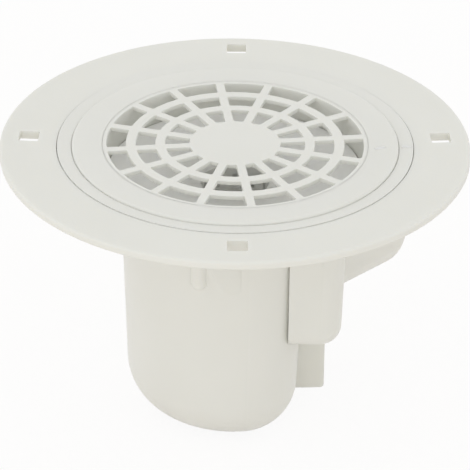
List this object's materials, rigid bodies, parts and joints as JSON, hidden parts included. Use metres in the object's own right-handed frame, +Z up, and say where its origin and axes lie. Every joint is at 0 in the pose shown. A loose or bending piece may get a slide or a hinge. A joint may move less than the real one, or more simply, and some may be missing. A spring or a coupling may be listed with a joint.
{
  "type": "floor drain",
  "caption": "Round floor drain with a wide flange, a slotted twist-lock grate, a water-seal trap bowl and a side outlet socket",
  "frame": {"origin": "on the drain's axis, level with the underside of the flange", "axes": "+Z up out of the floor, +X towards the outlet chamber; the outlet leaves midway between +X and +Y"},
  "size_m": [0.216, 0.216, 0.1367],
  "materials": {
    "white_abs": "satin",
    "black_rubber": "matte"
  },
  "bodies": {
    "drain": {"floor_flange": "white_abs", "trap_bowl": "white_abs", "outlet_chamber": "white_abs", "frame_ring": "white_abs", "ring_gasket": "black_rubber", "seal_cup": "white_abs", "cup_gasket": "black_rubber", "hair_catcher": "white_abs"},
    "grate": {"grate": "white_abs"}
  },
  "joints": [
    {"name": "grate_turn", "type": "hinge", "parent": "drain", "child": "grate", "pos_m": [0, 0, 0], "axis": [0, 0, 1], "range_deg": [0, 25]}
  ]
}
